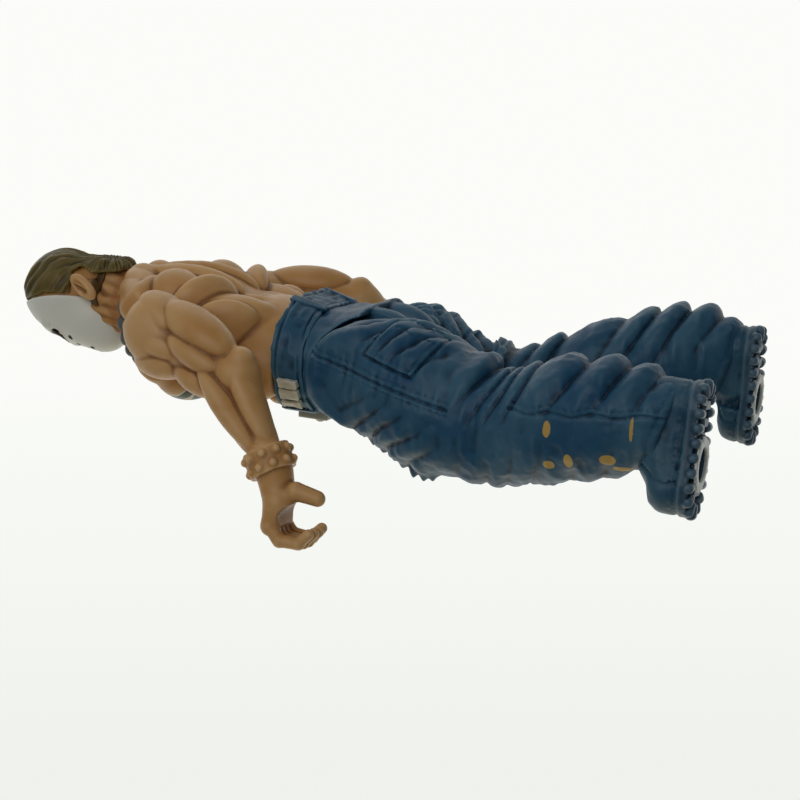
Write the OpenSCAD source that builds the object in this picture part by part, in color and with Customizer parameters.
// Articulated action figure, standing, facing -Y, with its left side at +X.
// The soles stand on z = 0. Sizes are in millimetres.

/* [Legs] */
// Height of the hip axis above the floor
hip_z = 59; // [58:0.5:60]
// Place of the hip axis, front to back
hip_y = 6.5; // [6:0.1:7]
// Radius of the round hip end of each leg
hip_r = 9.3; // [9:0.1:9.4]
// Distance of each leg's inner face from the middle
hip_gap = 6; // [5.8:0.1:6.4]
// Distance of each hip ball from the middle
hip_x = 12; // [11.5:0.1:12.5]
// Distance of each knee from the middle
knee_x = 15; // [14.5:0.1:15.5]
// Height of the knees
knee_z = 36; // [34:0.5:38]
// Radius of the knees
knee_r = 8.6; // [8:0.1:9]
// Radius of the thighs
thigh_r = 10.2; // [9.8:0.1:10.4]
// Radius of the calves
calf_r = 9; // [8.6:0.1:9.2]
// Radius of the ankles
ankle_r = 7.3; // [7:0.1:7.5]
// Distance of each foot from the middle
foot_x = 21; // [20.5:0.1:21.5]
// Middle of the left foot, front to back
left_foot_y = 4.3; // [3:0.1:5]
// Middle of the right foot, front to back
right_foot_y = 7.4; // [6:0.1:8]
// Length of each foot
foot_len = 21.6; // [20:0.2:23]
// Width of each foot
foot_w = 11; // [10:0.2:12]
// Angle that each foot points outwards
toe_out = 8; // [4:1:12]
// Height at which the trouser leg ends on the boot
hem_z = 6.6; // [6:0.1:8]
// Thickness of the soles
sole_t = 2.2; // [1.8:0.1:2.6]
// Radius of the stand peg hole in each sole
peg_hole_r = 2.65; // [2.4:0.05:2.8]
// Depth of the stand peg hole
peg_hole_depth = 5; // [4:0.2:6]

/* [Pelvis and belt] */
// Height of the top of the belt
belt_top = 75.3; // [75:0.1:75.5]
// Height of the belt band
belt_h = 5.9; // [5:0.1:6]
// Belt size from front to back
belt_depth = 19.8; // [19:0.2:20.4]
// Belt size from side to side
belt_width = 29.2; // [28.6:0.2:29.4]
// Place of the waist post, front to back
waist_y = 7.4; // [7:0.1:7.8]
// Radius of the waist post
waist_post_r = 2.4; // [2:0.1:2.6]
// Radius of the hip axle
hip_axle_r = 1.7; // [1.5:0.1:1.9]

/* [Torso] */
// Height of the shoulder axis
shoulder_z = 92.6; // [92:0.1:93.2]
// Place of the shoulder axis and of the torso seam, front to back
shoulder_y = 10.5; // [10.2:0.1:10.8]
// Distance of the torso's shoulder faces from the middle
shoulder_face = 14.9; // [14.6:0.1:15]
// Radius of the chest muscles
chest_r = 8.5; // [8.3:0.1:8.7]
// Radius of the upper back
back_r = 8; // [7.8:0.1:8.4]
// Height of the neck joint
neck_z = 108.9; // [108.5:0.1:109.1]
// Radius of the neck
neck_r = 5.4; // [5:0.1:5.8]
// Radius of the neck peg
neck_peg_r = 2.2; // [2:0.1:2.4]
// Radius of the neck chain's ring
chain_r = 8.2; // [8.1:0.1:8.3]
// Thickness of the chain's ring, as a radius
chain_tube_r = 0.9; // [0.8:0.05:0.95]

/* [Arms] */
// Radius of the deltoid
deltoid_r = 6.7; // [6.4:0.1:7]
// Distance of the deltoid's middle from the middle of the body
deltoid_x = 20.4; // [20:0.1:20.8]
// Radius of the upper arm
arm_r = 4.7; // [4.4:0.1:5]
// Radius of the wrist
wrist_r = 2.6; // [2.4:0.1:2.8]
// Swing of the right arm behind the left one
arm_back = 22; // [18:1:23]
// Radius of the shoulder pegs
shoulder_peg_r = 2.5; // [2.2:0.1:2.7]
// Radius of the wrist pegs
wrist_peg_r = 1.2; // [1:0.1:1.3]
// Inner radius of the hand grip
grip_r = 2.3; // [2:0.1:2.5]
// Width of the hand
hand_w = 7; // [6.4:0.2:7.4]
// Outer radius of the wristband
band_r = 3.9; // [3.6:0.1:4.2]
// Length of the wristband
band_len = 4.6; // [4:0.1:5]

/* [Head] */
// Height of the middle of the skull
skull_z = 123.6; // [123:0.1:124]
// Radius of the skull
skull_r = 7.3; // [7:0.1:7.4]
// Thickness of the hair over the skull
hair_t = 1; // [0.8:0.1:1.2]
// Thickness of the mask
mask_t = 0.9; // [0.7:0.1:1.1]

/* [Fits] */
// Gap between moving bodies
gap = 0.3; // [0.3:0.05:0.4]
// Radial clearance of the running fits
running = 0.07; // [0.03:0.01:0.1]

/* [Hidden] */
soft = 24;
fine = 48;
big = 60;
skin = [0.72, 0.47, 0.31];
navy = [0.10, 0.17, 0.26];
sole_black = [0.06, 0.09, 0.13];
hair_brown = [0.27, 0.22, 0.07];
cream = [0.80, 0.80, 0.74];
dark_grey = [0.20, 0.22, 0.23];
strap_brown = [0.30, 0.21, 0.11];
peg_black = [0.05, 0.05, 0.05];

neck_y = shoulder_y;
elbow = [24.5, 4.6, 76.9];
wrist = [27, -6.6, 68.5];
grip_c = [27.5, -14.9, 62.6];
grip_out = 5.2;
band_studs = 9;
stud_r = 0.75;
thigh = [13, 2.6, 47];
knee = [knee_x, 1.3, knee_z];
ankle_back = 3.4;
ankle_x = 20;
ankle_z = 10;
calf_x = 18;
calf_z = 23;
peg_forward = 2.4;
lug_r = 0.9;
lug_pitch = 2.3;
boot_inset = 0.7;
axle_recess = 0.6;
flange_h = 2;
belt_t = 1.5;
belt_front = waist_y - belt_depth / 2;
floor_top = belt_top + gap + 3;
hairline_y = 8.2;
nape_y = 12.6;
nape_z = 119.5;
strap_z = 114;
strap_h = 1.8;
eye_x = 2.7;
eye_z = 120.8;
eye_r = 1.25;
peg_head_r = 3.6;
chain_beads = 18;
chain_tilt = 6;
chain_end_y = 4;

// Place children at a, with +Z turned towards b.
module along(a, b) {
    d = b - a;
    translate(a)
        rotate([0, atan2(norm([d[0], d[1]]), d[2]), atan2(d[1], d[0])])
            children();
}

// Mirror to the figure's right side when side is -1.
module on_side(side) {
    if (side > 0) children();
    else mirror([1, 0, 0]) children();
}

// The right arm is the left one mirrored and swung back about the shoulder axis.
module arm_pose(side) {
    if (side > 0) children();
    else
        translate([0, shoulder_y, shoulder_z])
            rotate([arm_back, 0, 0])
                translate([0, -shoulder_y, -shoulder_z])
                    mirror([1, 0, 0]) children();
}

module ball(x, y, z, r, n = soft) {
    translate([x, y, z]) sphere(r = r, $fn = n);
}

module joint_ball(place, r) {
    ball(place[0], place[1], place[2], r);
}

// Rounded outline of the waist: two circles and the square between them.
module waist_outline(width, depth) {
    r = depth / 2;
    translate([0, waist_y]) {
        translate([-(width / 2 - r), -r]) square([width - depth, depth]);
        for (s = [-1, 1])
            translate([s * (width / 2 - r), 0]) circle(r = r, $fn = big);
    }
}

// ---- pelvis ----

module pelvis_form() {
    translate([-hip_gap + gap, hip_y, hip_z])
        rotate([0, 90, 0]) cylinder(r = hip_r - 0.5, h = 2 * (hip_gap - gap), $fn = big);
    translate([-hip_gap + gap, hip_y - 5.5, hip_z - 9.5])
        cube([2 * (hip_gap - gap), 11, 8]);
    translate([-hip_gap + gap, hip_y - 6.5, hip_z])
        cube([2 * (hip_gap - gap), 14, 12]);
    translate([0, 0, belt_top - belt_h])
        linear_extrude(belt_h - 0.5) waist_outline(belt_width - 2 * belt_t, belt_depth - 2 * belt_t);
}

module pelvis_half(front) {
    difference() {
        pelvis_form();
        translate([-30, front ? waist_y : waist_y - 60, 0]) cube([60, 60, 100]);
        translate([-20, hip_y, hip_z])
            rotate([0, 90, 0]) cylinder(r = hip_axle_r, h = 40, $fn = fine);
        translate([0, waist_y, hip_z + 4])
            cylinder(r = waist_post_r, h = 30, $fn = fine);
        translate([0, waist_y, hip_z + 4])
            cylinder(r = waist_post_r + 1, h = flange_h, $fn = fine);
    }
}

module pelvis_front() {
    color(navy) pelvis_half(true);
}

module pelvis_back() {
    color(navy) pelvis_half(false);
}

module belt() {
    color(navy)
        translate([0, 0, belt_top - belt_h])
            difference() {
                linear_extrude(belt_h) waist_outline(belt_width, belt_depth);
                translate([0, 0, -1])
                    linear_extrude(belt_h + 2)
                        waist_outline(belt_width - 2 * belt_t, belt_depth - 2 * belt_t);
            }
}

module belt_buckle() {
    color(cream)
        difference() {
            union() {
                translate([-3.6, belt_front - 1.3, belt_top - 6.2]) cube([7.2, 1.3, 5.8]);
                translate([0, belt_front - 1.3, belt_top - 3.3])
                    rotate([90, 0, 0]) cylinder(r1 = 1.7, r2 = 1.1, h = 1.1, $fn = fine);
            }
            translate([-2.4, belt_front - 1.4, belt_top - 5]) cube([4.8, 0.5, 0.6]);
            translate([-2.4, belt_front - 1.4, belt_top - 2.2]) cube([4.8, 0.5, 0.6]);
        }
}

// Metal plate let into the belt on the left, ahead of the hip.
module belt_side_plate() {
    r = belt_depth / 2;
    color(cream)
        translate([belt_width / 2 - r, waist_y, belt_top - 5.2])
            intersection() {
                difference() {
                    cylinder(r = r + 0.6, h = 3.9, $fn = big);
                    translate([0, 0, -1]) cylinder(r = r, h = 6, $fn = big);
                }
                rotate([0, 0, -34]) translate([0, -2.6, -1]) cube([r + 3, 5.2, 6]);
            }
}

module hip_axle() {
    color(peg_black)
        translate([-hip_x + axle_recess, hip_y, hip_z])
            rotate([0, 90, 0])
                cylinder(r = hip_axle_r, h = 2 * (hip_x - axle_recess), $fn = fine);
}

module waist_post() {
    color(peg_black)
        translate([0, waist_y, 0]) {
            translate([0, 0, hip_z + 4])
                cylinder(r = waist_post_r, h = floor_top + gap - hip_z - 4, $fn = fine);
            translate([0, 0, hip_z + 4])
                cylinder(r = waist_post_r + 1, h = flange_h, $fn = fine);
            translate([0, 0, floor_top + gap])
                cylinder(r = waist_post_r + 1.4, h = 1.6, $fn = fine);
        }
}

// ---- torso ----

module chest_form() {
    hull()
        for (s = [-1, 1]) {
            ball(s * 7, chest_r - 4, 96.6, chest_r);
            ball(s * 7, 20.2 - back_r, 96.4, back_r);
            ball(s * 8.2, shoulder_y, shoulder_z, 6.6);
        }
}

module waist_form() {
    hull()
        for (s = [-1, 1]) {
            ball(s * 5.4, 7.4, 78.5, 8.3);
            ball(s * 6.6, 12.4, 88, 7.3);
            ball(s * 5, 7, 90, 8);
        }
}

module torso_form() {
    intersection() {
        union() {
            chest_form();
            waist_form();
            translate([0, neck_y, 100])
                cylinder(r1 = 9.6, r2 = neck_r, h = neck_z - 100, $fn = fine);
        }
        translate([-shoulder_face, -30, belt_top + gap])
            cube([2 * shoulder_face, 60, neck_z - belt_top - gap]);
    }
}

module shoulder_holes() {
    for (s = [-1, 1])
        on_side(s)
            translate([11, shoulder_y, shoulder_z])
                rotate([0, 90, 0])
                    cylinder(r = shoulder_peg_r + running, h = 6, $fn = fine);
}

// The hollow inside, which holds the heads of the waist, neck and shoulder pegs.
module torso_hollow() {
    translate([-11.2, shoulder_y - 7, 88.5]) cube([22.4, 13, 8.2]);
    translate([-6, waist_y - 5, floor_top]) cube([12, 11, 11]);
    translate([0, neck_y, 96]) cylinder(r = 5, h = 6.6, $fn = fine);
}

module torso_half(front) {
    difference() {
        torso_form();
        torso_hollow();
        shoulder_holes();
        translate([0, neck_y, 100]) cylinder(r = neck_peg_r + running, h = 12, $fn = fine);
        translate([0, waist_y, belt_top - 1])
            cylinder(r = waist_post_r + running, h = 8, $fn = fine);
        translate([-40, front ? shoulder_y : shoulder_y - 60, 60]) cube([80, 60, 60]);
    }
}

module torso_front() {
    color(skin) torso_half(true);
}

module torso_back() {
    color(skin) torso_half(false);
}

// Chain: round the front and sides of the neck, with a knob on each link.
module neck_chain() {
    color(dark_grey)
        translate([0, neck_y - 1, 107]) rotate([chain_tilt, 0, 0])
            difference() {
                union() {
                    rotate_extrude($fn = big)
                        translate([chain_r, 0]) circle(r = chain_tube_r, $fn = soft);
                    for (i = [0:chain_beads - 1])
                        rotate([0, 0, i * 360 / chain_beads])
                            translate([chain_r + 0.6, 0, 0.5]) sphere(r = stud_r, $fn = fine);
                }
                translate([-12, chain_end_y, -3]) cube([24, 12, 6]);
            }
}

// ---- head ----

module head_form() {
    hull() {
        ball(0, 11, skull_z, skull_r);
        ball(0, 8.8, 118, 5.6);
        ball(0, 7.6, 114.8, 3.5);
    }
}

module mask_form() {
    hull() {
        ball(0, 9.4, 124.2, 6.6);
        ball(0, 8, 119, 5.6 + mask_t);
        ball(0, 7.4, 115.4, 3.6 + mask_t);
    }
}

module hair_form(grow) {
    hull() {
        ball(0, 11.2, skull_z, skull_r + hair_t + grow);
        ball(0, 13.3, 117.5, 5.6 + grow);
        ball(0, 14.1, 114.2, 4.3 + grow);
    }
}

module head() {
    color(skin)
        difference() {
            union() {
                head_form();
                translate([0, neck_y, neck_z + gap])
                    cylinder(r = neck_r, h = 9, $fn = fine);
            }
            translate([0, neck_y, neck_z]) cylinder(r = neck_peg_r, h = 5, $fn = fine);
        }
}

module hair() {
    color(hair_brown)
        difference() {
            hair_form(0);
            head_form();
            translate([0, neck_y, neck_z]) cylinder(r = neck_r, h = 10, $fn = fine);
            translate([-15, -10, 100]) cube([30, hairline_y + 10, 40]);
            translate([-15, -10, 100]) cube([30, nape_y + 10, nape_z - 100]);
        }
}

module mask() {
    color(cream)
        difference() {
            mask_form();
            head_form();
            translate([-15, hairline_y, 100]) cube([30, 30, 40]);
            translate([0, neck_y, neck_z]) cylinder(r = neck_r + 0.1, h = 8, $fn = fine);
            for (s = [-1, 1])
                translate([s * eye_x, -2, eye_z])
                    rotate([-90, 0, 0]) cylinder(r = eye_r, h = 9, $fn = fine);
        }
}

// Strap that holds the mask, round the back of the head.
module mask_strap() {
    color(strap_brown)
        difference() {
            intersection() {
                hair_form(0.7);
                translate([-15, hairline_y + 0.1, strap_z]) cube([30, 20, strap_h]);
            }
            hair_form(0);
            head_form();
            mask_form();
            translate([0, neck_y, neck_z]) cylinder(r = neck_r, h = 10, $fn = fine);
        }
}

module neck_peg() {
    color(peg_black)
        translate([0, neck_y, 0]) {
            translate([0, 0, 101.5])
                cylinder(r = neck_peg_r, h = neck_z + 5 - 101.5, $fn = fine);
            translate([0, 0, 99.9]) cylinder(r = peg_head_r, h = 1.6, $fn = fine);
        }
}

// ---- arms and hands ----

module arm_solid() {
    difference() {
        union() {
            ball(deltoid_x, shoulder_y + 0.3, shoulder_z, deltoid_r, big);
            hull() {
                ball(deltoid_x + 1, shoulder_y - 1, shoulder_z - 3, arm_r + 0.6);
                ball(elbow[0], elbow[1], elbow[2], arm_r - 0.3);
            }
            hull() {
                ball(elbow[0], elbow[1], elbow[2], arm_r - 0.3);
                along(wrist, elbow) translate([0, 0, band_len / 2])
                    cylinder(r = wrist_r + 0.3, h = 1, $fn = soft);
            }
        }
        translate([0, -30, 60]) cube([shoulder_face + gap, 80, 50]);
        along(wrist, elbow) translate([-10, -10, band_len / 2 - 20 + gap]) cube([20, 20, 20]);
        along(wrist, elbow) cylinder(r = wrist_peg_r + running, h = 7, $fn = fine);
        translate([shoulder_face - 1, shoulder_y, shoulder_z])
            rotate([0, 90, 0]) cylinder(r = shoulder_peg_r, h = 6.5, $fn = fine);
    }
}

module shoulder_peg() {
    color(peg_black)
        translate([0, shoulder_y, shoulder_z]) rotate([0, 90, 0]) {
            translate([0, 0, 10.7 - gap])
                cylinder(r = shoulder_peg_r, h = shoulder_face + 5.5 - 10.7 + gap, $fn = fine);
            translate([0, 0, 8.9 - gap]) cylinder(r = peg_head_r, h = 1.8, $fn = fine);
        }
}

// Open hand: a ring that holds a rod lying along X, open below, and a palm to the wrist.
module hand_solid() {
    difference() {
        union() {
            translate([grip_c[0] - hand_w / 2, grip_c[1], grip_c[2]])
                rotate([0, 90, 0]) cylinder(r = grip_out, h = hand_w, $fn = big);
            hull() {
                along(wrist, elbow) translate([0, 0, -band_len / 2 - 0.6])
                    cylinder(r = wrist_r - 0.35, h = 0.8, $fn = soft);
                ball(grip_c[0] - 1, grip_c[1] + 2.6, grip_c[2] + 2.3, 2.7);
                ball(grip_c[0] + 1, grip_c[1] + 2.6, grip_c[2] + 2.3, 2.7);
            }
            along(wrist, elbow) translate([0, 0, -band_len / 2 - 0.4])
                cylinder(r = wrist_r, h = band_len + 0.4, $fn = fine);
        }
        translate([grip_c[0] - 10, grip_c[1], grip_c[2]])
            rotate([0, 90, 0]) cylinder(r = grip_r, h = 20, $fn = fine);
        translate([grip_c[0] - 10, grip_c[1] - 1.5, grip_c[2] - 8]) cube([20, 3, 8]);
        along(wrist, elbow) translate([0, 0, -3])
            cylinder(r = wrist_peg_r, h = 8, $fn = fine);
    }
}

module wristband_solid() {
    along(wrist, elbow) {
        difference() {
            translate([0, 0, -band_len / 2])
                cylinder(r = band_r, h = band_len, $fn = big);
            translate([0, 0, -band_len / 2 - 1])
                cylinder(r = wrist_r, h = band_len + 2, $fn = fine);
        }
        for (i = [0:band_studs - 1])
            rotate([0, 0, i * 360 / band_studs]) translate([band_r - 0.1, 0, 0])
                sphere(r = stud_r, $fn = fine);
    }
}

module wrist_peg_solid() {
    along(wrist, elbow) translate([0, 0, -3])
        cylinder(r = wrist_peg_r, h = 9.6, $fn = fine);
}

module left_arm() {
    color(skin) arm_solid();
}

module right_arm() {
    color(skin) arm_pose(-1) arm_solid();
}

module left_shoulder_peg() {
    shoulder_peg();
}

module right_shoulder_peg() {
    arm_pose(-1) shoulder_peg();
}

module left_hand() {
    color(skin) hand_solid();
}

module right_hand() {
    color(skin) arm_pose(-1) hand_solid();
}

module left_wristband() {
    color(skin) wristband_solid();
}

module right_wristband() {
    color(skin) arm_pose(-1) wristband_solid();
}

module left_wrist_peg() {
    color(peg_black) wrist_peg_solid();
}

module right_wrist_peg() {
    color(peg_black) arm_pose(-1) wrist_peg_solid();
}

// ---- legs, boots and soles ----

// Trouser leg: a hip ball that is round about the hip axis, thigh, knee, calf and hem.
module leg_form(foot_y) {
    ankle = [ankle_x, foot_y + ankle_back, ankle_z];
    calf = [calf_x, (knee[1] + ankle[1]) / 2 + 0.6, calf_z];
    intersection() {
        union() {
            translate([hip_x, hip_y, hip_z]) rotate([0, -90, 0])
                cylinder(r = hip_r, h = hip_x, $fn = big);
            hull() {
                ball(hip_x, hip_y, hip_z, hip_r - 0.05, 30);
                joint_ball(thigh, thigh_r);
            }
            hull() {
                joint_ball(thigh, thigh_r);
                joint_ball(knee, knee_r);
            }
            hull() {
                joint_ball(knee, knee_r);
                joint_ball(calf, calf_r);
            }
            hull() {
                joint_ball(calf, calf_r);
                joint_ball(ankle, ankle_r);
            }
        }
        translate([hip_gap, -30, hem_z]) cube([40, 60, 70]);
    }
}

module leg_solid(foot_y) {
    difference() {
        leg_form(foot_y);
        translate([hip_gap - 1, hip_y, hip_z])
            rotate([0, 90, 0])
                cylinder(r = hip_axle_r + running, h = hip_x - hip_gap + 1, $fn = fine);
    }
}

module at_foot(foot_y) {
    translate([foot_x, foot_y, 0]) rotate([0, 0, toe_out]) children();
}

module foot_outline(inset) {
    r = foot_w / 2 - inset;
    half = foot_len / 2 - foot_w / 2;
    translate([0, -half]) circle(r = r, $fn = big);
    translate([0, half]) circle(r = r - 0.6, $fn = big);
    translate([-r + 0.6, -half]) square([2 * r - 1.2, 2 * half]);
}

module boot_solid(foot_y) {
    toe_y = -foot_len / 2 + foot_w / 2;
    difference() {
        at_foot(foot_y) {
            translate([0, 0, sole_t]) linear_extrude(hem_z - sole_t) foot_outline(boot_inset);
            intersection() {
                translate([0, toe_y + 0.4, hem_z - 3.2]) sphere(r = foot_w / 2 - 0.2, $fn = big);
                translate([-8, -20, sole_t]) cube([16, 30, 12]);
            }
        }
        leg_form(foot_y);
        at_foot(foot_y) translate([0, -peg_forward, 0])
            cylinder(r = peg_hole_r + 1.2, h = peg_hole_depth + 1, $fn = fine);
    }
}

// Sole: a lugged rim, cross bars and the socket for a stand peg.
module sole_solid(foot_y) {
    at_foot(foot_y)
        difference() {
            union() {
                translate([0, 0, 0.7]) linear_extrude(sole_t - 0.7) foot_outline(0.3);
                linear_extrude(sole_t) foot_outline(1.4);
                for (s = [-1, 1], i = [-3:3])
                    translate([s * (foot_w / 2 - 1.2), i * lug_pitch, 0])
                        cylinder(r = lug_r, h = sole_t, $fn = soft);
                for (s = [-1, 1], a = [-55, 0, 55])
                    translate([0, s * (foot_len - foot_w) / 2, 0])
                        rotate([0, 0, s * 90 + a]) translate([foot_w / 2 - 1.3, 0, 0])
                            cylinder(r = lug_r, h = sole_t, $fn = soft);
                translate([0, -peg_forward, 0])
                    cylinder(r = peg_hole_r + 1.2, h = peg_hole_depth + 1, $fn = fine);
            }
            for (i = [-2.5:1:2.5])
                if (abs(i * 2.6 + peg_forward) > peg_hole_r + 1.5)
                    translate([-foot_w / 2 + 2.4, i * 2.6 - 0.45, -1])
                        cube([foot_w - 4.8, 0.9, 1.8]);
            translate([0, -peg_forward, -1])
                cylinder(r = peg_hole_r, h = peg_hole_depth + 1, $fn = fine);
        }
}

module left_leg() {
    color(navy) leg_solid(left_foot_y);
}

module right_leg() {
    color(navy) on_side(-1) leg_solid(right_foot_y);
}

module left_boot() {
    color(navy) boot_solid(left_foot_y);
}

module right_boot() {
    color(navy) on_side(-1) boot_solid(right_foot_y);
}

module left_sole() {
    color(sole_black) sole_solid(left_foot_y);
}

module right_sole() {
    color(sole_black) on_side(-1) sole_solid(right_foot_y);
}

pelvis_front();
pelvis_back();
belt();
belt_buckle();
belt_side_plate();
hip_axle();
waist_post();
torso_front();
torso_back();
neck_chain();
head();
hair();
mask();
mask_strap();
neck_peg();
left_arm();
left_shoulder_peg();
right_arm();
right_shoulder_peg();
left_hand();
left_wristband();
left_wrist_peg();
right_hand();
right_wristband();
right_wrist_peg();
left_leg();
left_boot();
left_sole();
right_leg();
right_boot();
right_sole();
